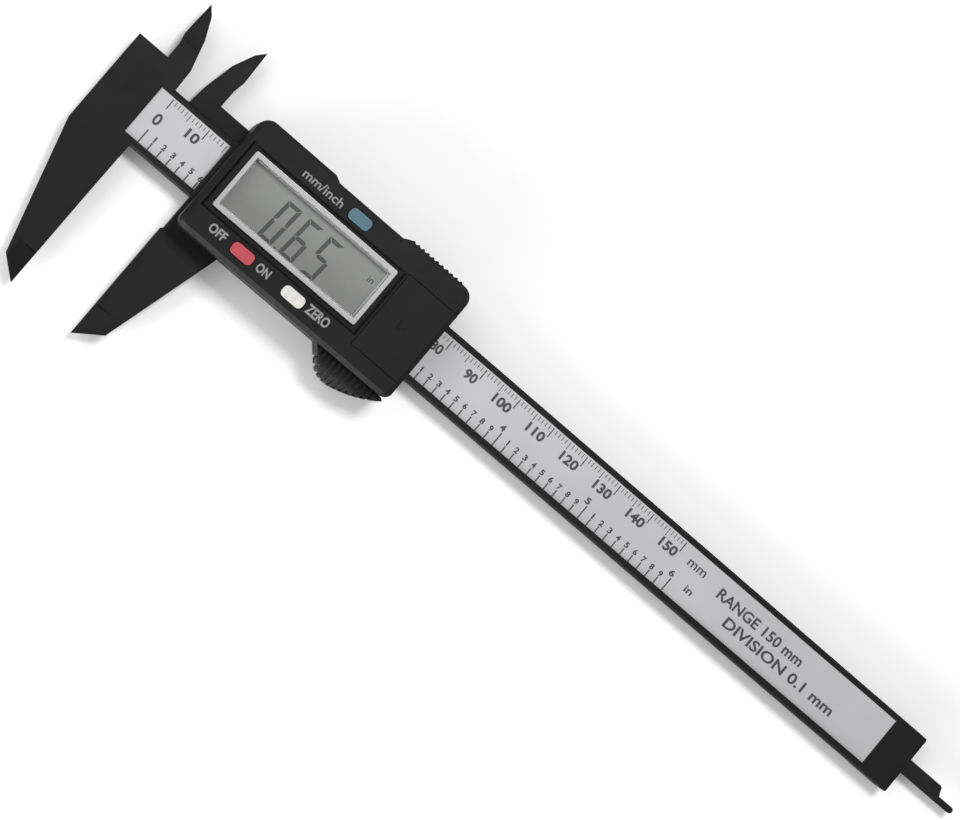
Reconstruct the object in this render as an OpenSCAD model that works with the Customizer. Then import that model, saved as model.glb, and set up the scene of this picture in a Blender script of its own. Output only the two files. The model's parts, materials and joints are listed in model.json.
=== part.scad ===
// Digital caliper with moulded composite jaws, a sliding display unit and a depth rod.
// Millimetres. The caliper is designed about its zero point: X = 0 is the fixed jaw's measuring face,
// Y = 0 is the beam's centre line, Z = 0 is the back that it lies on. The slider's own sub-parts are
// drawn from the moving jaw's measuring face. in_frame() then centres the whole object on the origin.

/* [Beam] */
// Longest outside measurement
measuring_range = 150; // [120:5:150]
// Width of the beam, edge to edge
beam_w = 15.4; // [15:0.1:15.6]
// Thickness of the beam and the outside jaws
beam_t = 3.6; // [3.4:0.1:3.8]
// Length of the beam past the end of the measuring range
beam_tail = 74.4; // [74:0.2:90]
// Width of the scale label
label_w = 12.3; // [11:0.1:12.6]

/* [Jaws] */
// Opening of the jaws at rest
opening = 16.51; // [2:0.01:60]
// Reach of the outside jaws below the beam's centre line
outside_reach = 46.5; // [44:0.5:50]
// Reach of the inside jaws above the beam's centre line
inside_reach = 26.9; // [25:0.1:30]
// Width of the fixed jaw's head along the beam
head_w = 13.6; // [13:0.1:16]
// Height of the knife-edged tips of the outside jaws
knife_h = 8.6; // [6:0.2:12]

/* [Slider] */
// Length of the slider along the beam
slider_l = 60.6; // [60:0.2:63]
// Slider's edge on the inside jaws' side
slider_top = 15.9; // [15.7:0.1:16.4]
// Slider's edge on the outside jaws' side
slider_bottom = 14.1; // [14:0.1:14.6]
// Height of the front cover's face above the back
cover_z = 14; // [14:0.1:15]
// Chamfer round the front cover's face
cover_chamfer = 1.1; // [0.6:0.1:1.2]
// Thickness of the back plate
back_t = 1.7; // [1.6:0.1:1.7]
// Number of ribs on the thumb grip
grip_ribs = 10; // [7:1:10]

/* [Display] */
// Outer length of the silver bezel
bezel_l = 39.9; // [38:0.1:39.9]
// Outer height of the silver bezel
bezel_h = 15.1; // [14:0.1:15.2]
// Width of the silver bezel's rim
bezel_rim = 1.1; // [0.8:0.1:1.4]

/* [Buttons] */
// Length of a button's cap
button_l = 5.7; // [5:0.1:6]
// Width of a button's cap
button_w = 2.8; // [2.4:0.1:2.8]
// Height of a button's cap above the cover
button_proud = 0.5; // [0.45:0.05:0.8]

/* [Battery] */
// Diameter of the button cell
cell_d = 11.6; // [11:0.1:11.6]
// Height of the button cell
cell_h = 5.4; // [4.8:0.1:5.4]

/* [Depth rod] */
// Width of the depth rod
rod_w = 3.8; // [3.4:0.1:3.8]
// Thickness of the depth rod
rod_t = 1.5; // [1.2:0.1:1.5]
// Length of the depth rod's narrow tip
rod_tip_l = 5.4; // [4:0.2:8]

/* [Hidden] */
$fn = 48;
over = 1;                                // how far a cut runs past what it cuts

composite = [0.13, 0.13, 0.135];
silver = [0.74, 0.74, 0.75];
steel = [0.7, 0.7, 0.72];
brass = [0.8, 0.68, 0.35];

// Beam
gap = 0.1;                               // running clearance of the slider on the beam
half_w = beam_w / 2;
beam_end = measuring_range + beam_tail;
beam_z = back_t + gap;
beam_top = beam_z + beam_t;
beam_chamfer = 0.4;
stator_t = 0.7;
label_t = 0.2;
label_drop = 0.3;                        // depth of the label below the beam's rims
label_z = beam_top - label_drop - label_t;
stator_z = label_z - stator_t;
label_x = -2.6;
label_end = beam_end - 8.6;
label_y = 0.15;                          // the label sits a little nearer the inside jaws
stop_l = 10;
stop_screw_y = 5.3;
small_screw_r = 0.7;
head_drop = 0.15;                        // depth of the screw heads below the back

// Depth rod, in a groove along the beam's back
rod_z = beam_z + 0.15;
rod_head_x = 3;
rod_screw_x = 6;
rod_narrow = 1.6;
groove_w = rod_w + 2 * gap;
groove_h = rod_t + 0.3;

// Jaws
jaw_bend_y = -11.4;                      // where the fixed jaw starts to taper
tip_w = 5;                               // width of an outside jaw where its tip is cut off
tip_y = 4.3 - outside_reach;
knife_y = knife_h - outside_reach;
knife_t = 0.9;                           // thickness left at a knife edge
fixed_land = 4.6;                        // width of the fixed jaw's thinned tip
moving_land = 5.4;                       // and of the moving jaw's
shoulder_y = 12;                         // top of the fixed jaw's head
blade_root_y = 16;
bevel_run = 6.4;                         // width of an inside jaw's bevel
fixed_root = 6.2;                        // width of the fixed inside blade at its root
moving_root = 5.8;                       // and of the moving one
inside_edge_x = -6.4;                    // where both inside jaws measure, with the caliper closed
half_t = (beam_t - gap) / 2;             // the inside jaws pass each other, each half as thick

// Slider
slider_x = 1.2;                          // the case stands back from the moving jaw's face
end_lips = [1.1, 0.6];                   // how far the low lips over the beam stand out at each end
end_lip_h = 2.4;
case_z = beam_top + 0.15;                // seam between the frame and the front cover
wall = 1.3;
top_t = 1.2;
top_r = 3;                               // radius of the case's corners on the inside jaws' side
bottom_r = 2;
notch_x = [22.4, 40.7];                  // shallow notch in the case's upper edge
notch_y = slider_top - 0.85;
notch_run = 1.5;                         // length of the notch's slanted ends
bay_x = 46.5;                            // start of the battery bay
partition = 1;                           // wall between the display and the battery
case_bottom = -slider_bottom;
inner_top = notch_y - wall;
inner_bottom = case_bottom + wall;
inner_end = slider_l - wall;
face_z = cover_z - top_t;                // underside of the cover's face
board_z = case_z;
board_t = 0.8;
board_top = board_z + board_t;
chip_at = [23, 2.5];
bridge_x = slider_x + wall + 0.1;
bridge_w = 0.9;
deck_top = case_z + 1.15;
gib_x = [12, 48];                        // ends of the gib spring's pocket
gib_bow = 0.6;                           // how far the spring's ends stand off past its middle
gib_steps = 16;

// Screws, as [x, y]
case_screws_at = [for (x = [5.4, slider_l - 3.2], y = [11.6, -11]) [x, y]];
board_screws_at = [for (x = [9.4, 41.5], y = [11.4, -11]) [x, y]];
stop_screws_at = [for (y = [stop_screw_y, -stop_screw_y]) [beam_end - stop_l / 2, y]];
case_screw_r = 0.8;
case_screw_l = 8.4;
case_screw_head = 1.6;
small_screw_head = 1.4;
boss_r = 1.7;

// Display, centred at
display_x = 24.6;
display_y = 1.25;
recess_drop = 1.1;
bezel_top = cover_z - 0.55;
window_t = 1.2;
glass_l = 40;
glass_h = 16.8;
glass_t = 2;
glass_y = display_y - 0.5;
glass_z = 9;
film_t = 0.2;

// Buttons
power_at = [16.35, -10.1];
zero_at = [30.55, -10.1];
unit_at = [30.8, 11.9];
dome_h = 0.6;
button_gap = 0.15;
button_lip = 0.35;
lip_t = 0.6;
stem_r = 0.75;

// Battery
cell_at = [52.9, 0.2];
cell_z = deck_top + 0.5;
lid_x = bay_x + 0.1;
lid_y = [-9.6, 9.9];
lid_tongue = 0.5;
tongue_t = 0.5;
arrow_l = 2.2;
arrow_depth = 0.25;

// Thumb grip: a straight flank, a tight turn at the crest and a long falling arc
grip_x = 41.1;
grip_turn_x = 43.9;
grip_crest = [48.7, -19.6];
grip_r = 6;
grip_arc_r = 24.5;
grip_arc_a = 11.5;                       // angle past the crest where the long arc takes over
grip_top = 11.4;
rib_pitch = 1.42;
rib_w = 0.72;
rib_depth = 0.6;
rib_x = 43.6;

// Whole object, for centring it
origin_x = (beam_end + opening - head_w) / 2;
origin_y = (inside_reach - outside_reach) / 2;

// ---------------------------------------------------------------- helpers

module in_frame() translate([-origin_x, -origin_y, 0]) children();
module on_slider() in_frame() translate([opening, 0, 0]) children();

module at_each(places) for (p = places) translate([p[0], p[1], 0]) children();

function arc(x, y, r, a0, a1, n) =
    [for (i = [0:n]) let (a = a0 + (a1 - a0) * i / n) [x + r * cos(a), y + r * sin(a)]];

function round_rect(x0, y0, x1, y1, r, n = 5) = concat(
    arc(x1 - r, y1 - r, r, 0, 90, n), arc(x0 + r, y1 - r, r, 90, 180, n),
    arc(x0 + r, y0 + r, r, 180, 270, n), arc(x1 - r, y0 + r, r, 270, 360, n));

// A plate with round corners from z up to z + t
module plate(x0, y0, x1, y1, r, z, t)
    translate([0, 0, z]) linear_extrude(t) polygon(round_rect(x0, y0, x1, y1, r));

module box(x0, y0, z0, x1, y1, z1)
    translate([x0, y0, z0]) cube([x1 - x0, y1 - y0, z1 - z0]);

// A prism along X whose section is drawn as [y, z] points
module bar_x(x0, x1, points)
    translate([x0, 0, 0]) rotate([90, 0, 90]) linear_extrude(x1 - x0) polygon(points);

// A prism along Y whose section is drawn as [x, z] points
module bar_y(y0, y1, points)
    translate([0, y1, 0]) rotate([90, 0, 0]) linear_extrude(y1 - y0) polygon(points);

// Section of a block from a to b, with its two top edges chamfered by c
function section(a, b, z0, z1, c) = c == 0
    ? [[a, z0], [b, z0], [b, z1], [a, z1]]
    : [[a, z0], [b, z0], [b, z1 - c], [b - c, z1], [a + c, z1], [a, z1 - c]];

// A countersunk cross-head screw that points up from z, with its head's face at z
module screw(r, l, head_r, z) translate([0, 0, z]) difference() {
    union() {
        cylinder(r1 = head_r, r2 = r, h = head_r - r);
        cylinder(r = r, h = l);
    }
    for (a = [0, 90])
        rotate([0, 0, a]) translate([-head_r * 0.65, -0.2, -over]) cube([head_r * 1.3, 0.4, over + 0.5]);
}

// The hole for that screw
module screw_hole(r, l, head_r, z) translate([0, 0, z]) {
    rim = head_r + 0.1;
    translate([0, 0, -over]) cylinder(r = rim, h = over + 0.05);
    translate([0, 0, 0.05]) cylinder(r1 = rim, r2 = r + 0.05, h = rim - r - 0.05);
    cylinder(r = r + 0.05, h = l + 0.3);
}

// ---------------------------------------------------------------- beam and fixed jaws

// Wedges that thin an outside jaw's tip to a knife edge at X = 0, on both sides of the jaw
module knife_cuts(land)
    for (s = [0, 1])
        translate([0, 0, beam_z + beam_t / 2]) mirror([0, 0, s])
            bar_y(-outside_reach - over, knife_y, [
                [0.3, knife_t / 2], [-land, beam_t / 2 + 0.01], [-land, beam_t], [0.3, beam_t]]);

// An inside jaw's blade, root wide at its foot: measuring edge at X = 0, body at X > 0
function blade_points(root) = [
    [0.5, shoulder_y - 0.4], [0.5, blade_root_y], [0, blade_root_y + 2.4], [0, inside_reach - 7],
    [0.3, inside_reach], [2.1, inside_reach - 2.1], [4.3, inside_reach - 7], [root, shoulder_y + 0.8]];

// Bevel along an inside jaw's measuring edge, cut from the face at z towards +Z or -Z
module blade_bevel(z, up)
    bar_y(blade_root_y + 1, inside_reach + over, [
        [-0.2, z - up * 1.1], [bevel_run, z + up * 0.01], [bevel_run, z + up], [-0.2, z + up]]);

module beam() color(composite) in_frame() difference() {
    union() {
        box(-head_w, -half_w, beam_z, 0, half_w, beam_top);
        bar_x(-over, beam_end, section(-half_w, half_w, beam_z, beam_top, beam_chamfer));
        translate([0, 0, beam_z]) linear_extrude(beam_t) polygon([
            [0, -half_w + 1], [0, -outside_reach], [-tip_w, tip_y], [-head_w, jaw_bend_y],
            [-head_w, -half_w + 1]]);
        translate([0, 0, beam_top - half_t]) linear_extrude(half_t) union() {
            polygon([
                [-head_w, half_w - 1], [-head_w, shoulder_y], [inside_edge_x + 0.5, shoulder_y],
                [inside_edge_x + fixed_root, shoulder_y + 0.8], [0, half_w - 1]]);
            translate([inside_edge_x, 0]) polygon(blade_points(fixed_root));
        }
    }
    // seats of the stator strip and of the label over it
    box(label_x + 1, label_y - label_w / 2 + 0.3, stator_z,
        label_end - 1, label_y + label_w / 2 - 0.3, beam_top + over);
    box(label_x - 0.05, label_y - label_w / 2 - 0.05, label_z,
        label_end + 0.05, label_y + label_w / 2 + 0.05, beam_top + over);
    // groove of the depth rod
    box(1.5, -groove_w / 2, beam_z - over, beam_end + over, groove_w / 2, beam_z + groove_h);
    knife_cuts(fixed_land);
    translate([inside_edge_x, 0, 0]) blade_bevel(beam_top, 1);
    at_each(stop_screws_at) cylinder(r = small_screw_r + 0.05, h = beam_z + 1.6);
}

module stator_strip() color([0.16, 0.36, 0.2]) in_frame()
    box(label_x + 1.1, label_y - label_w / 2 + 0.4, stator_z,
        label_end - 1.1, label_y + label_w / 2 - 0.4, label_z);

module scale_label() color(silver) in_frame()
    box(label_x, label_y - label_w / 2, label_z, label_end, label_y + label_w / 2, label_z + label_t);

module end_stop() color(composite) in_frame() difference() {
    plate(beam_end - stop_l, -half_w, beam_end, half_w, 0.8, 0, beam_z);
    at_each(stop_screws_at) screw_hole(small_screw_r, 3, small_screw_head, head_drop);
}

module end_stop_screws() color(steel) in_frame()
    at_each(stop_screws_at) screw(small_screw_r, 3, small_screw_head, head_drop);

// ---------------------------------------------------------------- slider frame and back

// The case's footprint as a block from z0 to z1, with its top edges chamfered by c all round
module case_block(z0, z1, c) {
    x0 = slider_x;
    x1 = slider_l;
    difference() {
        union() {
            bar_y(case_bottom + bottom_r, slider_top - top_r, section(x0, x1, z0, z1, c));
            bar_x(x0 + bottom_r, x1 - bottom_r, section(case_bottom, 5, z0, z1, c));
            bar_x(x0 + top_r, x1 - top_r, section(-5, slider_top, z0, z1, c));
            for (k = [[x0 + bottom_r, case_bottom + bottom_r, bottom_r],
                      [x1 - bottom_r, case_bottom + bottom_r, bottom_r],
                      [x0 + top_r, slider_top - top_r, top_r], [x1 - top_r, slider_top - top_r, top_r]])
                translate([k[0], k[1], 0]) rotate_extrude() intersection() {
                    polygon(section(-k[2], k[2], z0, z1, c));
                    translate([0, z0]) square([k[2], z1 - z0]);
                }
        }
        // notch, with the same chamfer along its floor
        intersection() {
            bar_x(notch_x[0] - notch_run, notch_x[1] + notch_run, [
                [notch_y, z0 - over], [notch_y, z1 - c], [notch_y - c - 0.5, z1 + 0.5],
                [slider_top + over, z1 + 0.5], [slider_top + over, z0 - over]]);
            translate([0, 0, z0 - over]) linear_extrude(z1 - z0 + 2 * over) polygon([
                [notch_x[0], notch_y - 2], [notch_x[1], notch_y - 2], [notch_x[1], notch_y],
                [notch_x[1] + notch_run, slider_top], [notch_x[1] + notch_run, slider_top + over],
                [notch_x[0] - notch_run, slider_top + over], [notch_x[0] - notch_run, slider_top],
                [notch_x[0], notch_y]]);
        }
    }
}

// Outline of the thumb grip, drawn in by d
function grip_outline(d) = let (
        turn = [grip_crest[0], grip_crest[1] + grip_r],
        reach = grip_arc_r - grip_r,
        bend = [turn[0] - reach * sin(grip_arc_a), turn[1] + reach * cos(grip_arc_a)],
        start = 270 - asin((turn[0] - grip_turn_x) / grip_r),
        end = 270 + asin((slider_l + 0.2 - bend[0]) / grip_arc_r))
    concat(
        [[slider_l - 1, case_bottom + 1.5], [grip_x + d * 1.4, case_bottom + 1.5],
         [grip_x + d * 1.4, case_bottom]],
        arc(turn[0], turn[1], grip_r - d, start, 270 + grip_arc_a, 10),
        arc(bend[0], bend[1], grip_arc_r - d, 270 + grip_arc_a + 2, end - 2 - 2 * d, 9),
        [[slider_l - 1 - d, case_bottom - 0.1]]);

// Grip body drawn in by d: upright sides, rounded over from its crest to the cover's edge
module grip_body(d) {
    base = case_bottom - 0.05;
    crest = grip_crest[1] + d;
    intersection() {
        translate([0, 0, back_t]) linear_extrude(grip_top) polygon(grip_outline(d));
        bar_x(grip_x - over, slider_l, concat(
            [[case_bottom + 1.5, back_t], [crest + 0.6, back_t], [crest, back_t + 0.6]],
            [for (a = [0:9:90])
                [base + (crest - base) * cos(a), case_z + 1 + (grip_top - d - case_z - 1) * sin(a)]],
            [[base, case_z], [case_bottom + 1.5, case_z]]));
    }
}

module thumb_grip() {
    grip_body(rib_depth);
    intersection() {
        grip_body(0);
        union() {
            box(grip_x - over, -40, 0, rib_x - 0.5, 0, 20);
            for (i = [0:grip_ribs - 1])
                translate([rib_pitch * i, 0, 0]) box(rib_x, -40, 0, rib_x + rib_w, 0, 20);
            box(rib_x + rib_pitch * grip_ribs, -40, 0, slider_l, 0, 20);
        }
    }
}

module slider_frame() color(composite) on_slider() difference() {
    union() {
        difference() {
            case_block(back_t, case_z, 0);
            box(-over, -half_w - gap, 0, slider_l + over, half_w + gap, 20);
        }
        // bridge at the front, and the deck under the battery
        box(bridge_x, inner_bottom + 0.1, beam_top + 0.1, bridge_x + bridge_w, inner_top - 0.1, board_top);
        box(bay_x - 0.9, inner_bottom + 0.1, beam_top + 0.1, inner_end - 0.1, inner_top - 0.1, deck_top);
        // moving outside jaw, with a relief beside the beam
        difference() {
            translate([0, 0, beam_z]) linear_extrude(beam_t) polygon([
                [0.5, -half_w - gap], [0.5, -16.4], [0, -16.8], [0, -outside_reach], [tip_w + 1, tip_y],
                [13.5, case_bottom - 0.6], [13.5, case_bottom + over], [12, -half_w - gap]]);
            mirror([1, 0, 0]) knife_cuts(moving_land);
        }
        // moving inside jaw, behind the fixed one
        difference() {
            translate([0, 0, beam_z]) linear_extrude(half_t) union() {
                polygon([
                    [inside_edge_x - moving_root - 0.5, half_w + gap],
                    [inside_edge_x - moving_root, shoulder_y + 0.8], [inside_edge_x - 0.5, shoulder_y - 0.4],
                    [slider_x + 0.5, shoulder_y - 0.4], [slider_x + 0.5, half_w + gap]]);
                translate([inside_edge_x, 0]) mirror([1, 0]) polygon(blade_points(moving_root));
            }
            translate([inside_edge_x, 0, 0]) mirror([1, 0, 0]) blade_bevel(beam_z, -1);
        }
        // cheeks that hold the button cell
        intersection() {
            translate([cell_at[0], cell_at[1], deck_top - 0.3]) difference() {
                cylinder(r = cell_d / 2 + 1, h = 3.2);
                translate([0, 0, -over]) cylinder(r = cell_d / 2 + 0.15, h = 6);
            }
            box(bay_x + 2.4, -12, 0, inner_end - 0.6, 13, 12);
        }
        thumb_grip();
    }
    // pocket of the gib spring
    box(gib_x[0], half_w, beam_z + 0.4, gib_x[1], half_w + 1, beam_top - 0.4);
    at_each(case_screws_at) cylinder(r = case_screw_r + 0.15, h = case_z + 4);
    at_each(board_screws_at) translate([0, 0, case_z - 2.6]) cylinder(r = 0.65, h = 4);
}

module back_plate() color(composite) on_slider() difference() {
    union() {
        translate([0, 0, back_t]) mirror([0, 0, 1]) case_block(0, back_t, 0.4);
        // seat of the depth rod
        translate([rod_screw_x, 0, 1]) cylinder(r = 1.7, h = rod_z - 1);
    }
    at_each(case_screws_at) screw_hole(case_screw_r, case_screw_l, case_screw_head, head_drop);
    translate([rod_screw_x, 0, 0]) screw_hole(small_screw_r, 3, small_screw_head, head_drop);
}

module case_screws() color(steel) on_slider()
    at_each(case_screws_at) screw(case_screw_r, case_screw_l, case_screw_head, head_drop);

// One face of the gib spring, d away from the beam's edge at its middle
function gib_face(d) = [for (i = [0:gib_steps]) let (along = i / gib_steps) [
    gib_x[0] + 0.4 + along * (gib_x[1] - gib_x[0] - 0.8),
    half_w + d + gib_bow * pow(2 * along - 1, 2)]];

// Bowed strip that takes up the play between the beam's edge and the frame
module gib_spring() color(steel) on_slider()
    translate([0, 0, beam_z + 0.5]) linear_extrude(beam_t - 1)
        polygon(concat(gib_face(0.06), [for (i = [gib_steps:-1:0]) gib_face(0.3)[i]]));

// ---------------------------------------------------------------- depth rod

module depth_rod() color(composite) on_slider() {
    half = rod_w / 2;
    difference() {
        translate([0, 0, rod_z]) linear_extrude(rod_t) polygon(concat(
            [[rod_head_x, half], [rod_head_x, -half]],
            arc(beam_end - rod_narrow / 2, -half + rod_narrow / 2, rod_narrow / 2, -90, 90, 8),
            [[beam_end - rod_tip_l + 0.6, -half + rod_narrow]],
            arc(beam_end - rod_tip_l - 1, half - 1, 1, 0, 90, 5)));
        translate([rod_screw_x, 0, 0]) cylinder(r = small_screw_r + 0.05, h = 5);
    }
}

module depth_rod_screw() color(steel) on_slider()
    translate([rod_screw_x, 0, 0])
        screw(small_screw_r, rod_z + rod_t - 0.1 - head_drop, small_screw_head, head_drop);

// ---------------------------------------------------------------- electronics

module circuit_board() color([0.1, 0.36, 0.2]) on_slider() difference() {
    plate(bridge_x + bridge_w + 0.2, inner_bottom + 0.3, bay_x - partition - 0.3, inner_top - 0.3,
          0.8, board_z, board_t);
    at_each(case_screws_at) cylinder(r = boss_r + 0.3, h = 20);
    at_each(board_screws_at) cylinder(r = 0.75, h = 20);
}

// Epoxy drop over the bonded chip
module controller_chip() color([0.05, 0.05, 0.055]) on_slider()
    translate([chip_at[0], chip_at[1], board_top]) rotate_extrude() polygon(concat(
        [[0, 0]], [for (a = [0:15:90]) [3.4 * cos(a), 1.1 * sin(a)]]));

module board_components() color([0.62, 0.55, 0.42]) on_slider()
    for (i = [0:3]) {
        translate([31.5, -1.8 + 2.4 * i, board_top]) cube([1.6, 0.8, 0.6]);
        translate([12 + 2.2 * i, 6.5, board_top]) cube([0.8, 1.6, 0.6]);
    }

module board_screws() color(steel) on_slider() at_each(board_screws_at) difference() {
    union() {
        translate([0, 0, case_z - 2.4]) cylinder(r = 0.6, h = board_t + 2.6);
        translate([0, 0, board_top]) cylinder(r = 1.15, h = 0.6);
    }
    for (a = [0, 90])
        rotate([0, 0, a]) translate([-0.7, -0.15, board_top + 0.25]) cube([1.4, 0.3, over]);
}

// ---------------------------------------------------------------- display

glass_x = [display_x - glass_l / 2, display_x + glass_l / 2];
glass_side = [glass_y - glass_h / 2, glass_y + glass_h / 2];
strip_w = 1.6;

// Frame that carries the glass above the board, with ledges at its edges
module lcd_holder() color([0.82, 0.82, 0.8]) on_slider() difference() {
    box(glass_x[0] - 0.7, glass_side[0] - 0.7, board_top, glass_x[1] + 0.7, glass_side[1] + 0.7,
        glass_z + glass_t);
    box(glass_x[0] - 0.05, glass_side[0] - 0.05, glass_z, glass_x[1] + 0.05, glass_side[1] + 0.05, 20);
    box(glass_x[0] + 1.2, glass_side[0] + 0.05, board_top - over, glass_x[1] - 1.2, glass_side[1] - 0.8, 20);
}

// Elastomer strip that joins the glass to the board
module contact_strip() color([0.85, 0.5, 0.55]) on_slider()
    box(display_x - 17, glass_side[0] + 0.1, board_top,
        display_x + 17, glass_side[0] + 0.1 + strip_w, glass_z);

module lcd_reflector() color([0.7, 0.72, 0.68]) on_slider()
    box(glass_x[0] + 1.3, glass_side[0] + strip_w + 0.3, glass_z - film_t,
        glass_x[1] - 1.3, glass_side[1] - 0.9, glass_z);

module lcd_cell() color([0.6, 0.62, 0.6]) on_slider()
    box(glass_x[0], glass_side[0], glass_z, glass_x[1], glass_side[1], glass_z + glass_t);

module lcd_polarizer() color([0.56, 0.57, 0.55]) on_slider()
    box(glass_x[0] + 0.4, glass_side[0] + 0.4, glass_z + glass_t,
        glass_x[1] - 0.4, glass_side[1] - 0.4, bezel_foot);

bezel_x = [display_x - bezel_l / 2, display_x + bezel_l / 2];
bezel_y = [display_y - bezel_h / 2, display_y + bezel_h / 2];
bezel_foot = glass_z + glass_t + film_t;
bezel_lip = 0.6;
window_z = bezel_foot + 0.5;

// A plate in the bezel's outline, grown by d
module bezel_plate(d, r, z0, z1)
    plate(bezel_x[0] - d, bezel_y[0] - d, bezel_x[1] + d, bezel_y[1] + d, r, z0, z1 - z0);

module display_bezel() color(silver) on_slider() difference() {
    union() {
        bezel_plate(0, 0.5, bezel_foot, bezel_top);
        bezel_plate(0.8, 0.5, bezel_foot, bezel_foot + bezel_lip);
    }
    bezel_plate(-bezel_rim - 0.4, 0.3, 5, 20);
    bezel_plate(-bezel_rim, 0.4, window_z, 20);
}

module display_window() color([0.8, 0.84, 0.85, 0.35]) on_slider()
    bezel_plate(-bezel_rim - 0.05, 0.35, window_z, window_z + window_t);

// ---------------------------------------------------------------- front cover

recess_x = [bezel_x[0] - 1.9, bay_x - 0.4];
recess_y = [bezel_y[0] - 1.6, bezel_y[1] + 1.2];

// Sloping recess round the bezel
module display_recess() {
    z = cover_z - recess_drop;
    run = recess_drop / 2;
    intersection() {
        bar_x(0, slider_l, [
            [recess_y[0] + run, z], [recess_y[1] - run, z],
            [recess_y[1] + run, cover_z + recess_drop], [recess_y[0] - run, cover_z + recess_drop]]);
        bar_y(case_bottom, slider_top, [
            [recess_x[0] + run, z], [recess_x[1] - run, z],
            [recess_x[1] + run, cover_z + recess_drop], [recess_x[0] - run, cover_z + recess_drop]]);
    }
}

module button_hole() {
    l = button_l / 2 + button_gap;
    w = button_w / 2 + button_gap;
    plate(-l, -w, l, w, 1.2, face_z - over, 5);
}

module edge_ridges()
    for (x = [notch_x[1] + notch_run + 0.8:1.35:slider_l - top_r])
        translate([x, slider_top, case_z]) cylinder(r = 0.34, h = cover_z - cover_chamfer - case_z, $fn = 16);

module front_cover() color(composite) on_slider() difference() {
    union() {
        difference() {
            union() {
                case_block(case_z, cover_z, cover_chamfer);
                edge_ridges();
            }
            // display bay and battery bay, joined low down where the frame's deck passes
            box(slider_x + wall, inner_bottom, 0, bay_x - partition, inner_top, face_z);
            box(bay_x, inner_bottom, 0, inner_end, inner_top, face_z);
            box(bay_x - partition - over, inner_bottom, 0, bay_x + over, inner_top, deck_top + 0.05);
        }
        // thicker floor under the display's recess
        box(recess_x[0], recess_y[0] + 0.1, bezel_foot + bezel_lip + 0.05,
            recess_x[1] - 0.1, recess_y[1] - 0.1, face_z + 0.1);
        // low lips over the beam
        box(slider_x - end_lips[0], -half_w, case_z, slider_x + wall / 2, half_w, case_z + end_lip_h);
        box(slider_l - wall / 2, -half_w, case_z, slider_l + end_lips[1], half_w, case_z + end_lip_h);
        // bosses of the case screws, each joined to its wall by a rib
        for (p = case_screws_at) {
            over_deck = p[0] > bay_x;
            foot = over_deck ? deck_top + 0.05 : case_z;
            head = over_deck ? face_z - 1 : face_z + 0.1;
            side = p[1] > 0 ? inner_top + 0.4 : inner_bottom - 0.4;
            translate([p[0], p[1], foot]) cylinder(r = boss_r, h = head - foot);
            box(p[0] - 1.1, min(p[1], side), deck_top + 0.5, p[0] + 1.1, max(p[1], side), face_z - 1);
        }
    }
    display_recess();
    bezel_plate(0.1, 0.6, 5, 20);
    for (p = [power_at, zero_at, unit_at]) translate([p[0], p[1], 0]) button_hole();
    // seat of the battery cover and the grooves for its tongues
    box(bay_x, lid_y[0] - 0.1, face_z, slider_l + over, lid_y[1] + 0.1, cover_z + over);
    box(bay_x, lid_y[0] - 0.1 - lid_tongue, face_z - 0.05,
        slider_l + over, lid_y[1] + 0.1 + lid_tongue, face_z + tongue_t + 0.1);
    at_each(case_screws_at) cylinder(r = case_screw_r + 0.05, h = case_screw_l + 0.6);
}

// ---------------------------------------------------------------- buttons

module button(p) on_slider() translate([p[0], p[1], 0]) {
    l = button_l / 2;
    w = button_w / 2;
    lip_z = face_z - 0.05 - lip_t;
    stem_z = board_top + dome_h + 0.05;
    plate(-l, -w, l, w, 1.05, lip_z + 0.1, cover_z + button_proud - lip_z - 0.1);
    plate(-l - button_lip, -w - button_lip, l + button_lip, w + button_lip, 1.3, lip_z, lip_t);
    translate([0, 0, stem_z]) cylinder(r = stem_r, h = lip_z + 0.3 - stem_z);
}

// Snap dome: a thin bowl with a flat rim, upside down on the board
module dome(p) color(steel) on_slider() translate([p[0], p[1], board_top]) rotate_extrude() polygon([
    [1.5, 0], [1.5, 0.12], [1, 0.45], [0, dome_h], [0, dome_h - 0.14], [0.95, 0.3], [1.35, 0]]);

module power_button() color([0.72, 0.14, 0.17]) button(power_at);
module zero_button() color([0.9, 0.9, 0.86]) button(zero_at);
module unit_button() color([0.25, 0.5, 0.62]) button(unit_at);
module power_dome() dome(power_at);
module zero_dome() dome(zero_at);
module unit_dome() dome(unit_at);

// ---------------------------------------------------------------- battery

// Button cell: a can over a smaller cap, with the sealing step between them
module button_cell() color(steel) on_slider() translate([cell_at[0], cell_at[1], cell_z])
    rotate_extrude() polygon([
        [0, 0], [cell_d / 2 - 1.6, 0], [cell_d / 2 - 1.5, 0.7], [cell_d / 2 - 0.9, 0.7],
        [cell_d / 2 - 0.6, 0.4], [cell_d / 2, 0.7], [cell_d / 2, cell_h - 0.3],
        [cell_d / 2 - 0.3, cell_h], [0, cell_h]]);

// Spring tab under the cell
module battery_contact_negative() color(brass) on_slider() translate([cell_at[0], cell_at[1], deck_top]) {
    rise = cell_z - deck_top;
    box(-2, -4, 0, 2, 4, 0.2);
    bar_y(-1, 1, [
        [-1.9, 0.19], [-1.9, 0.3], [0, rise], [1.4, 0.35], [1.4, 0.19], [0, rise - 0.15]]);
}

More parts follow.
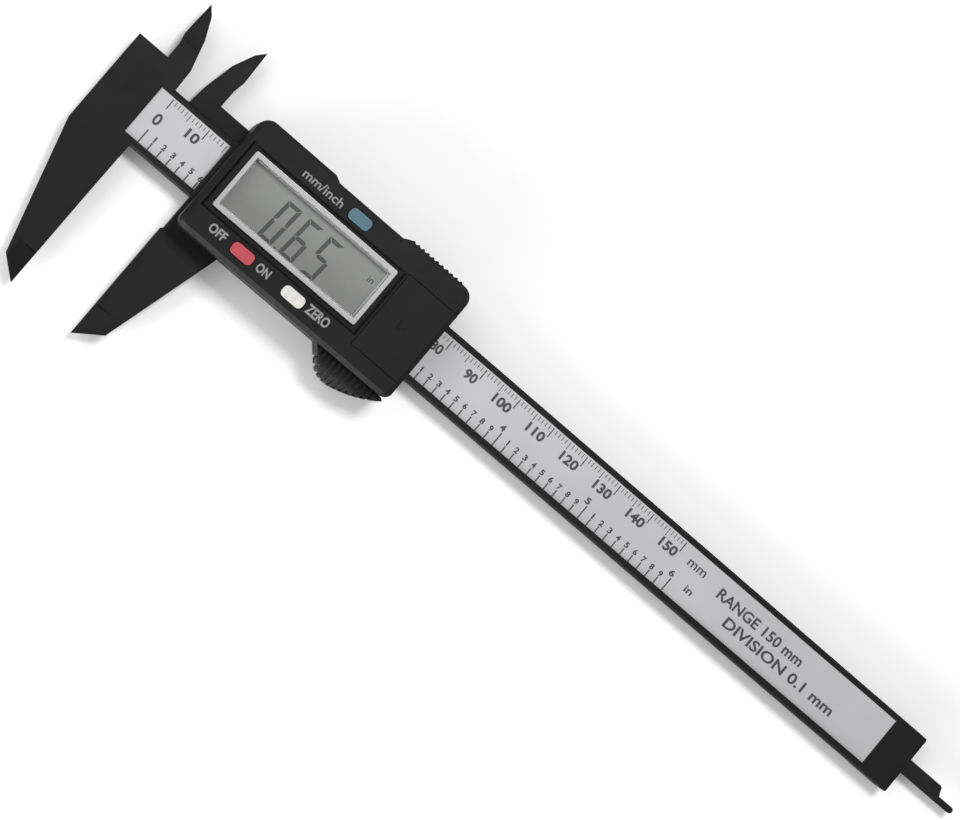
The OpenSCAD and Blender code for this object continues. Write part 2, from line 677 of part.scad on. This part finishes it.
// Bowed leaf against the side of the can, with a foot on the deck
module battery_contact_positive() color(brass) on_slider() translate([bay_x + 0.05, cell_at[1], deck_top]) {
    leaf_t = 0.2;
    bow = cell_at[0] - cell_d / 2 - bay_x - 0.07 - leaf_t;
    linear_extrude(4.4) polygon(concat(
        [for (i = [0:8]) [bow * sin(22.5 * i), -3 + 0.75 * i]],
        [for (i = [8:-1:0]) [leaf_t + bow * sin(22.5 * i), -3 + 0.75 * i]]));
    box(0, -4.6, 0, 0.9, -2.9, 0.25);
}

// Lid that slides off towards the end of the beam, the way its shallow arrow points
module battery_cover() color(composite) on_slider() difference() {
    union() {
        intersection() {
            case_block(case_z, cover_z, cover_chamfer);
            box(lid_x, lid_y[0], face_z + 0.02, slider_l + over, lid_y[1], cover_z + over);
        }
        box(lid_x, lid_y[0] - lid_tongue + 0.1, face_z + 0.02,
            slider_l - 3, lid_y[1] + lid_tongue - 0.1, face_z + tongue_t);
    }
    translate([cell_at[0] - arrow_l / 2, cell_at[1], cover_z - arrow_depth]) linear_extrude(over)
        polygon([[0, -arrow_l / 2], [arrow_l, 0], [0, arrow_l / 2]]);
}

// ---------------------------------------------------------------- nodes

beam();
stator_strip();
scale_label();
end_stop();
end_stop_screws();
slider_frame();
back_plate();
case_screws();
gib_spring();
depth_rod();
depth_rod_screw();
circuit_board();
controller_chip();
board_components();
board_screws();
lcd_holder();
contact_strip();
lcd_reflector();
lcd_cell();
lcd_polarizer();
front_cover();
display_bezel();
display_window();
power_button();
zero_button();
unit_button();
power_dome();
zero_dome();
unit_dome();
button_cell();
battery_contact_positive();
battery_contact_negative();
battery_cover();
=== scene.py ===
"""Looks of the digital caliper: camera, light, materials and printing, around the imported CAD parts."""
import json
import math

import bmesh
import bpy
from mathutils import Euler, Matrix, Vector


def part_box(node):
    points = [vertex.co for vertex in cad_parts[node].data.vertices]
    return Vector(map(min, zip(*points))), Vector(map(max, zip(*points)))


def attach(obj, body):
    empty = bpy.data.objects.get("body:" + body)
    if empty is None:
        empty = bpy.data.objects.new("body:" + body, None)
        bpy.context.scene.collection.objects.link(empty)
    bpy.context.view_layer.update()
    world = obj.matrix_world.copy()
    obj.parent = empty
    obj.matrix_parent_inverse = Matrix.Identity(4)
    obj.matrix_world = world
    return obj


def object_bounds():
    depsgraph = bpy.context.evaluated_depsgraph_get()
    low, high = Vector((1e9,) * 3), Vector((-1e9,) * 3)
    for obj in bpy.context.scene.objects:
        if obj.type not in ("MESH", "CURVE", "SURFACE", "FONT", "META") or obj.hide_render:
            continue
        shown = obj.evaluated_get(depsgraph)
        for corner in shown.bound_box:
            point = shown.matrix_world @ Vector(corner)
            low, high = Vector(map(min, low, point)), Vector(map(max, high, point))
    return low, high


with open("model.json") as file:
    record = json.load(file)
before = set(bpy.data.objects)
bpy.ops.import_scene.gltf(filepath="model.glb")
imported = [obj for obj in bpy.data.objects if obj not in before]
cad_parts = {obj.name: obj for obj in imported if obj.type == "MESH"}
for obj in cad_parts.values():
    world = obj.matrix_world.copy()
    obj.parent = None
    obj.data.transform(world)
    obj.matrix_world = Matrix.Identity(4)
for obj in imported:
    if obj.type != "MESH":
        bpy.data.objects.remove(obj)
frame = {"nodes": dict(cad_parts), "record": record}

cad_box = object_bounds()
mm = 0.001

# ---------------------------------------------------------------- where things are

mounts = {m["name"]: Vector(m["pos_m"]) for m in frame["record"]["mounts"]}
beam_y = sum(p.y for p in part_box("end_stop")) / 2          # the beam's centre line
jaw_x = mounts["fixed_jaw_face"].x                         # the fixed jaw's measuring face
slider_x = mounts["moving_jaw_face"].x                     # the moving jaw's measuring face
label_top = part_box("scale_label")[1].z
cover_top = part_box("front_cover")[1].z
polarizer_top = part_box("lcd_polarizer")[1].z
ink = 0.02 * mm                                            # thickness of printed ink


def on_beam(x, y):
    """A point on the beam, in millimetres from the fixed jaw's face and the beam's centre line."""
    return Vector((jaw_x + x * mm, beam_y + y * mm))


def on_slider(x, y):
    """A point on the slider, in millimetres from the moving jaw's face and the beam's centre line."""
    return Vector((slider_x + x * mm, beam_y + y * mm))


# ---------------------------------------------------------------- material helpers


def principled(name, colour, roughness, **sockets):
    """A new material with a Principled shader, its plain values set on the shader's own sockets."""
    material = bpy.data.materials.new(name)
    material.use_nodes = True
    shader = material.node_tree.nodes["Principled BSDF"]
    shader.inputs["Base Color"].default_value = (*colour, 1)
    shader.inputs["Roughness"].default_value = roughness
    for socket, value in sockets.items():
        shader.inputs[socket.replace("_", " ")].default_value = value
    return material


def add(material, kind, **values):
    """A new node in a material, with its properties or its input sockets set by name."""
    node = material.node_tree.nodes.new(kind)
    for key, value in values.items():
        name = key.replace("_", " ")
        if name in node.inputs:
            node.inputs[name].default_value = value
        else:
            setattr(node, key, value)
    return node


def join(material, source, output, target, socket):
    material.node_tree.links.new(source.outputs[output], target.inputs[socket])


def shader_of(material):
    return material.node_tree.nodes["Principled BSDF"]


def object_coordinates(material, scale=(1, 1, 1)):
    """Coordinates fixed to the piece, stretched by scale."""
    place = add(material, "ShaderNodeTexCoord")
    mapping = add(material, "ShaderNodeMapping", Scale=scale)
    join(material, place, "Object", mapping, "Vector")
    return mapping


def noise(material, size, detail=3.0, roughness=0.55, stretch=(1, 1, 1)):
    """Noise whose features are about size metres across, longer where stretch is less than 1."""
    texture = add(material, "ShaderNodeTexNoise", Scale=1 / size, Detail=detail, Roughness=roughness)
    join(material, object_coordinates(material, stretch), "Vector", texture, "Vector")
    return texture


def shade_between(material, source, output, dark, light, socket="Base Color", low=0.3, high=0.7):
    """Drives a shader socket from a texture, through a ramp from dark to light."""
    ramp = add(material, "ShaderNodeValToRGB")
    ramp.color_ramp.elements[0].position = low
    ramp.color_ramp.elements[1].position = high
    ramp.color_ramp.elements[0].color = (*dark, 1)
    ramp.color_ramp.elements[1].color = (*light, 1)
    join(material, source, output, ramp, "Fac")
    join(material, ramp, "Color", shader_of(material), socket)


def bump(material, source, output, height, strength=1.0):
    """Relief of the given height in metres, on top of any relief that the shader already has."""
    node = add(material, "ShaderNodeBump", Distance=height, Strength=strength)
    join(material, source, output, node, "Height")
    earlier = shader_of(material).inputs["Normal"].links
    if earlier:
        join(material, earlier[0].from_node, "Normal", node, "Normal")
    join(material, node, "Normal", shader_of(material), "Normal")


def tone(colour, share):
    return tuple(c * share for c in colour)


# ---------------------------------------------------------------- materials


def moulded(name, colour, grain, relief, roughness, specular=0.3):
    """Dark fibre-filled plastic: mottled tone, short fibres and a fine moulded grain."""
    material = principled(name, colour, roughness, Specular_IOR_Level=specular)
    mottle = noise(material, 9 * mm, 4)
    shade_between(material, mottle, "Fac", tone(colour, 0.8), tone(colour, 1.25))
    fibres = noise(material, 0.35 * mm, 2, 0.6, (0.22, 1, 1))
    bump(material, fibres, "Fac", relief * 0.5)
    bump(material, noise(material, grain, 2, 0.7), "Fac", relief)
    worn = noise(material, 2.2 * mm, 3)
    shade_between(material, worn, "Fac", (roughness - 0.06,) * 3, (roughness + 0.08,) * 3, "Roughness")
    return material


def metal(name, colour, roughness, stretch, size=0.25 * mm):
    """Metal with fine marks drawn out along the axis where stretch is small."""
    material = principled(name, colour, roughness, Metallic=1.0)
    marks = noise(material, size, 3, 0.6, stretch)
    shade_between(material, marks, "Fac", (roughness * 0.75,) * 3, (roughness * 1.3,) * 3, "Roughness")
    bump(material, marks, "Fac", 0.004 * mm)
    blotches = noise(material, 3 * mm, 2)
    shade_between(material, blotches, "Fac", tone(colour, 0.88), colour)
    return material


def silver_film(name, colour, metallic, roughness, fleck=0.08 * mm):
    """Silver paint or film: fine flakes in a satin coat, with a soft change of tone over its length."""
    material = principled(name, colour, roughness, Metallic=metallic)
    broad = noise(material, 28 * mm, 2)
    shade_between(material, broad, "Fac", tone(colour, 0.93), tone(colour, 1.04))
    flakes = noise(material, fleck, 1, 0.5)
    shade_between(material, flakes, "Fac", (roughness * 0.85,) * 3, (roughness * 1.15,) * 3, "Roughness")
    bump(material, flakes, "Fac", 0.0015 * mm)
    return material


def satin(name, colour, roughness, size=1.2 * mm, relief=0.004 * mm, contrast=0.1, **sockets):
    """Plain moulded or printed surface with a little unevenness."""
    material = principled(name, colour, roughness, **sockets)
    patches = noise(material, size, 4)
    shade_between(material, patches, "Fac", tone(colour, 1 - contrast), tone(colour, 1 + contrast))
    bump(material, noise(material, size / 6, 2), "Fac", relief)
    return material


def rubbed_button(name, colour):
    """Button plastic, worn a little paler and smoother on top."""
    material = satin(name, colour, 0.42, 0.9 * mm, 0.006 * mm, 0.08)
    scuffs = noise(material, 0.25 * mm, 3, 0.6, (0.3, 1, 1))
    shade_between(material, scuffs, "Fac", (0.34,) * 3, (0.52,) * 3, "Roughness")
    return material


beam_plastic = moulded("beam_plastic", (0.0055, 0.0055, 0.006), 0.16 * mm, 0.012 * mm, 0.5, 0.15)
frame_plastic = moulded("frame_plastic", (0.006, 0.006, 0.0065), 0.16 * mm, 0.012 * mm, 0.5, 0.15)
case_plastic = moulded("case_plastic", (0.006, 0.006, 0.0065), 0.12 * mm, 0.01 * mm, 0.46, 0.14)
rod_plastic = moulded("rod_plastic", (0.008, 0.008, 0.0085), 0.2 * mm, 0.006 * mm, 0.42, 0.2)
label_film = silver_film("label_film", (0.41, 0.41, 0.42), 0.2, 0.42)
bezel_paint = silver_film("bezel_paint", (0.38, 0.38, 0.382), 0.45, 0.34, 0.06 * mm)
screw_steel = metal("screw_steel", (0.5, 0.5, 0.51), 0.32, (1, 1, 0.2))
spring_steel = metal("spring_steel", (0.62, 0.62, 0.63), 0.22, (0.1, 1, 1))
cell_steel = metal("cell_steel", (0.7, 0.7, 0.71), 0.2, (1, 1, 0.1))
contact_brass = metal("contact_brass", (0.78, 0.6, 0.27), 0.25, (1, 0.15, 1))
solder_mask = satin("solder_mask", (0.03, 0.14, 0.06), 0.35, 2.5 * mm, 0.003 * mm, 0.2)
chip_epoxy = satin("chip_epoxy", (0.012, 0.012, 0.013), 0.18, 0.8 * mm, 0.01 * mm)
ceramic = satin("component_ceramic", (0.42, 0.33, 0.2), 0.5, 0.4 * mm)
holder_white = satin("holder_white", (0.72, 0.72, 0.7), 0.5, 2 * mm)
reflector = satin("reflector_film", (0.52, 0.54, 0.5), 0.4, 0.5 * mm, Metallic=0.4)
display_grey = satin("display_grey", (0.19, 0.195, 0.187), 0.38, 6 * mm, 0.001 * mm, 0.035)
glass_edge = satin("display_glass", (0.3, 0.33, 0.32), 0.12, 4 * mm, 0.001 * mm)
red = rubbed_button("button_red", (0.36, 0.035, 0.048))
white = rubbed_button("button_white", (0.53, 0.53, 0.49))
blue = rubbed_button("button_blue", (0.04, 0.11, 0.145))
black_ink = satin("black_ink", (0.03, 0.03, 0.032), 0.5, 0.3 * mm, 0.001 * mm, 0.25)
grey_ink = satin("grey_ink", (0.2, 0.2, 0.2), 0.55, 0.25 * mm, 0.002 * mm, 0.2)
liquid_crystal = satin("liquid_crystal", (0.022, 0.024, 0.022), 0.35, 1.5 * mm, 0.0005 * mm, 0.1)


def striped_rubber():
    """The contact strip: thin dark conducting layers between pink ones."""
    material = principled("contact_rubber", (0.7, 0.35, 0.4), 0.6)
    wave = add(material, "ShaderNodeTexWave", Scale=1 / (1.2 * mm), Distortion=0.4)
    join(material, object_coordinates(material), "Vector", wave, "Vector")
    shade_between(material, wave, "Fac", (0.03, 0.03, 0.03), (0.7, 0.35, 0.4), low=0.35, high=0.6)
    return material


def clear_window():
    """Clear moulded window: nearly all see-through, with a gloss and faint rub marks."""
    material = principled("window_clear", (0.3, 0.31, 0.31), 0.07, Alpha=0.05)
    rubs = noise(material, 0.5 * mm, 4, 0.6, (0.2, 1, 1))
    shade_between(material, rubs, "Fac", (0.05,) * 3, (0.13,) * 3, "Roughness")
    return material


# ---------------------------------------------------------------- finish of the CAD parts


def finish_part(node, material, bevel=0.0, segments=2, sharpness=35):
    """Gives a CAD part its material and, where bevel is given, a round that many millimetres wide
    on the edges that turn by more than sharpness degrees."""
    part = frame["nodes"][node]
    part.data.materials.clear()
    part.data.materials.append(material)
    if bevel:
        weld = part.modifiers.new("weld", "WELD")
        weld.merge_threshold = 0.001 * mm
        flatten = part.modifiers.new("flatten", "DECIMATE")
        flatten.decimate_type = "DISSOLVE"
        flatten.angle_limit = math.radians(0.6)
        edges = part.modifiers.new("edges", "BEVEL")
        edges.width = bevel * mm
        edges.segments = segments
        edges.limit_method = "ANGLE"
        edges.angle_limit = math.radians(sharpness)
        edges.use_clamp_overlap = False
        edges.harden_normals = True


finish_part("beam", beam_plastic, 0.12, sharpness=50)
finish_part("stator_strip", solder_mask)
finish_part("scale_label", label_film, 0.04)
finish_part("end_stop", beam_plastic, 0.12, sharpness=50)
finish_part("slider_frame", frame_plastic, 0.06)
finish_part("back_plate", case_plastic, 0.1)
finish_part("depth_rod", rod_plastic, 0.12)
finish_part("front_cover", case_plastic, 0.05)
finish_part("battery_cover", case_plastic, 0.08)
finish_part("display_bezel", bezel_paint, 0.12)
finish_part("display_window", clear_window(), 0.05)
finish_part("power_button", red, 0.12, segments=3)
finish_part("zero_button", white, 0.12, segments=3)
finish_part("unit_button", blue, 0.12, segments=3)
for name in ("end_stop_screws", "case_screws", "depth_rod_screw", "board_screws"):
    finish_part(name, screw_steel, 0.03)
for name in ("gib_spring", "power_dome", "zero_dome", "unit_dome"):
    finish_part(name, spring_steel)
for name in ("battery_contact_positive", "battery_contact_negative"):
    finish_part(name, contact_brass)
finish_part("circuit_board", solder_mask)
finish_part("controller_chip", chip_epoxy)
finish_part("board_components", ceramic)
finish_part("lcd_holder", holder_white)
finish_part("contact_strip", striped_rubber())
finish_part("lcd_reflector", reflector)
finish_part("lcd_cell", glass_edge)
finish_part("lcd_polarizer", display_grey)
finish_part("button_cell", cell_steel)

# ---------------------------------------------------------------- printing


class Print:
    """Thin ink on one flat surface: bars, lines of lettering and display segments, as one mesh."""

    def __init__(self, z):
        self.mesh = bmesh.new()
        self.z = z

    def outline(self, points):
        """A flat patch of ink with the given outline, as points in the row frame."""
        low = [self.mesh.verts.new((p[0], p[1], self.z)) for p in points]
        high = [self.mesh.verts.new((p[0], p[1], self.z + ink)) for p in points]
        self.mesh.faces.new(high)
        self.mesh.faces.new(low[::-1])
        for i in range(len(points)):
            j = (i + 1) % len(points)
            self.mesh.faces.new((low[i], low[j], high[j], high[i]))

    def bar(self, corner, opposite):
        self.outline([corner, (opposite[0], corner[1]), opposite, (corner[0], opposite[1])])

    def words(self, text, corner, opposite, weight=0.0, keep_shape=False):
        """Lettering that fills the box from its lower left corner to its opposite corner.
        With keep_shape the letters keep their proportions and end at the box's right side."""
        curve = bpy.data.curves.new("lettering", "FONT")
        curve.body = text
        curve.offset = weight
        curve.extrude = 0.01
        curve.resolution_u = 3
        holder = bpy.data.objects.new("lettering", curve)
        bpy.context.scene.collection.objects.link(holder)
        depsgraph = bpy.context.evaluated_depsgraph_get()
        drawn = bpy.data.meshes.new_from_object(holder.evaluated_get(depsgraph))
        low = Vector(min(v.co[i] for v in drawn.vertices) for i in range(3))
        high = Vector(max(v.co[i] for v in drawn.vertices) for i in range(3))
        tall = (opposite[1] - corner[1]) / (high.y - low.y)
        wide = tall if keep_shape else (opposite[0] - corner[0]) / (high.x - low.x)
        right = Matrix.Translation((opposite[0] - wide * high.x, corner[1] - tall * low.y, self.z))
        fit = right @ Matrix.Diagonal((wide, tall, ink / (high.z - low.z), 1))
        drawn.transform(fit @ Matrix.Translation((0, 0, -low.z)))
        self.mesh.from_mesh(drawn)
        bpy.data.objects.remove(holder)
        bpy.data.meshes.remove(drawn)
        bpy.data.curves.remove(curve)

    def piece(self, name, material, body):
        """Makes the ink an object that rides on a body."""
        bmesh.ops.remove_doubles(self.mesh, verts=self.mesh.verts, dist=1e-8)
        bmesh.ops.recalc_face_normals(self.mesh, faces=self.mesh.faces)
        data = bpy.data.meshes.new(name)
        self.mesh.to_mesh(data)
        self.mesh.free()
        data.materials.append(material)
        made = bpy.data.objects.new(name, data)
        bpy.context.scene.collection.objects.link(made)
        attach(made, body)


# How much the font's strokes are thickened, as a share of its size
light, medium, heavy, bold = 0.012, 0.022, 0.03, 0.035

# Scale: millimetres along the upper edge, inches and tenths along the lower one
zero_x = 1.0                                               # where both scales start
inch = 25.4
scale_length = 150
mm_tick_end = 5.9                                          # outer ends of the ticks, from the centre line
inch_tick_end = -5.95
scale = Print(label_top)


def tick(x, y0, y1, width):
    scale.bar(on_beam(x - width / 2, y0), on_beam(x + width / 2, y1))


for step in range(scale_length + 1):
    at_ten, at_five = step % 10 == 0, step % 5 == 0
    reach = 3.3 if at_ten else 4.0 if at_five else 4.8
    tick(zero_x + step, reach, mm_tick_end, 0.26 if at_ten else 0.18)
for value in range(10, scale_length + 1, 10):
    right = zero_x + value - 0.3
    wide = 1.6 * len(str(value))
    scale.words(str(value), on_beam(right - wide, 1.3), on_beam(right, 3.7), bold)
scale.words("0", on_beam(0, -1.0), on_beam(2.0, 1.8), heavy, keep_shape=True)
for tenth in range(61):
    x = zero_x + inch * tenth / 10
    whole = tenth % 10 == 0
    tick(x, inch_tick_end, -2.5 if whole else -4.2, 0.32)
    if whole and tenth:
        scale.words(str(tenth // 10), on_beam(x - 1.2, -2.25), on_beam(x + 0.1, -0.7), bold)
    elif not whole:
        half_wide = 0.2 if tenth % 10 == 1 else 0.5
        scale.words(str(tenth % 10), on_beam(x - half_wide, -4.0), on_beam(x + half_wide, -2.6), bold)
scale.words("mm", on_beam(154.1, 2.2), on_beam(159.2, 3.7), light)
scale.words("in", on_beam(157.3, -2.9), on_beam(159.4, -1.2), 0.02)
scale.words("RANGE 150 mm", on_beam(164.1, 0.85), on_beam(189.65, 3.5), medium)
scale.words("DIVISION 0.1 mm", on_beam(169.4, -3.2), on_beam(202.6, -0.55), medium)
scale.piece("scale_printing", black_ink, "beam")

# Legends beside the buttons
legends = Print(cover_top)
legends.words("OFF", on_slider(7.3, -11.1), on_slider(11.6, -8.9), heavy)
legends.words("ON", on_slider(20.4, -11.1), on_slider(23.8, -8.9), heavy)
legends.words("ZERO", on_slider(34.3, -11.0), on_slider(40.3, -8.6), heavy)
legends.words("mm/inch", on_slider(15.2, 10.8), on_slider(26.0, 12.9), light)
legends.piece("case_legends", grey_ink, "slider")

# Display: slanted seven-segment digits, a point and the unit's mark
SEGMENTS = {"0": "abcdef", "5": "afgcd", "6": "afgedc"}
digit_w = 3.9
digit_h = 10.2
stroke = 0.95
split = 0.08                                               # gap between neighbouring segments
slant = 0.07
display = Print(polarizer_top)


def digit(symbol, x, y):
    """One digit centred at x, y, in the slider's millimetres."""
    w, h = digit_w / 2, digit_h / 2
    inner = w - stroke - split                             # half the clear width between the uprights
    half = stroke / 2
    level = [(split - w, h), (w - split, h), (inner, h - stroke), (-inner, h - stroke)]
    middle = [(-inner - half, 0), (-inner, half), (inner, half),
              (inner + half, 0), (inner, -half), (-inner, -half)]
    upright = [(-w, h - split), (-w, split), (half - w, split),
               (stroke - w, half + split), (stroke - w, h - stroke - split)]
    shapes = {"a": (level, 1, 1), "d": (level, 1, -1), "g": (middle, 1, 1), "f": (upright, 1, 1),
              "b": (upright, -1, 1), "e": (upright, 1, -1), "c": (upright, -1, -1)}
    for letter in SEGMENTS[symbol]:
        points, flip_x, flip_y = shapes[letter]
        display.outline([on_slider(x + flip_x * p + slant * flip_y * q, y + flip_y * q)
                         for p, q in points])


digit_y = 0.2
for symbol, x in (("0", 18.4), ("6", 24.3), ("5", 30.2)):
    digit(symbol, x, digit_y)
display.bar(on_slider(20.7, -4.9), on_slider(21.3, -4.3))
display.words("in", on_slider(40.6, 3.1), on_slider(42.0, 4.4), 0.01)
display.piece("display_digits", liquid_crystal, "slider")

# ---------------------------------------------------------------- floor


def floor():
    """A plain pale table top, just below the back so that no two faces coincide."""
    mesh = bmesh.new()
    half_width = 1.5
    bmesh.ops.create_grid(mesh, x_segments=8, y_segments=8, size=half_width)
    data = bpy.data.meshes.new("floor")
    mesh.to_mesh(data)
    mesh.free()
    data.materials.append(satin("floor_white", (0.86, 0.86, 0.86), 0.7, 60 * mm, 0.01 * mm, 0.01))
    made = bpy.data.objects.new("floor", data)
    made.location.z = cad_box[0].z - ink
    bpy.context.scene.collection.objects.link(made)


floor()

# ---------------------------------------------------------------- camera and light

picture_turn = math.radians(40.648)                        # the picture's right, about +Z from +X
picture_right = Vector((math.cos(picture_turn), math.sin(picture_turn), 0))
picture_up = Vector((-picture_right.y, picture_right.x, 0))

camera_data = bpy.data.cameras.new("camera")
camera_data.sensor_width = 36
camera_data.lens = 101.25
camera_data.clip_start = 0.01
camera = bpy.data.objects.new("camera", camera_data)
camera.location = (-0.12146, -0.0312, 0.58982)
camera.rotation_euler = Euler((math.radians(-3.618), math.radians(-10.079), picture_turn))
bpy.context.scene.collection.objects.link(camera)
bpy.context.scene.camera = camera


def panel(name, right, up, height, size, power):
    """A soft light panel, placed in the picture's own directions and turned to the object."""
    data = bpy.data.lights.new(name, "AREA")
    data.shape = "RECTANGLE"
    data.size = size[0]
    data.size_y = size[1]
    data.energy = power
    lamp = bpy.data.objects.new(name, data)
    lamp.location = picture_right * right + picture_up * up + Vector((0, 0, height))
    lamp.rotation_euler = (-lamp.location).to_track_quat("-Z", "Y").to_euler()
    bpy.context.scene.collection.objects.link(lamp)


panel("key", right=0.32, up=0.38, height=0.95, size=(0.28, 0.28), power=7.2)
panel("left_panel", right=-0.75, up=-0.35, height=0.2, size=(1.0, 0.35), power=12)
panel("top_panel", right=-0.35, up=0.75, height=0.75, size=(0.8, 0.6), power=3)

world = bpy.data.worlds.new("studio")
world.use_nodes = True
world.node_tree.nodes["Background"].inputs["Color"].default_value = (1, 1, 1, 1)
world.node_tree.nodes["Background"].inputs["Strength"].default_value = 0.36
bpy.context.scene.world = world
bpy.context.scene.view_settings.view_transform = "Standard"
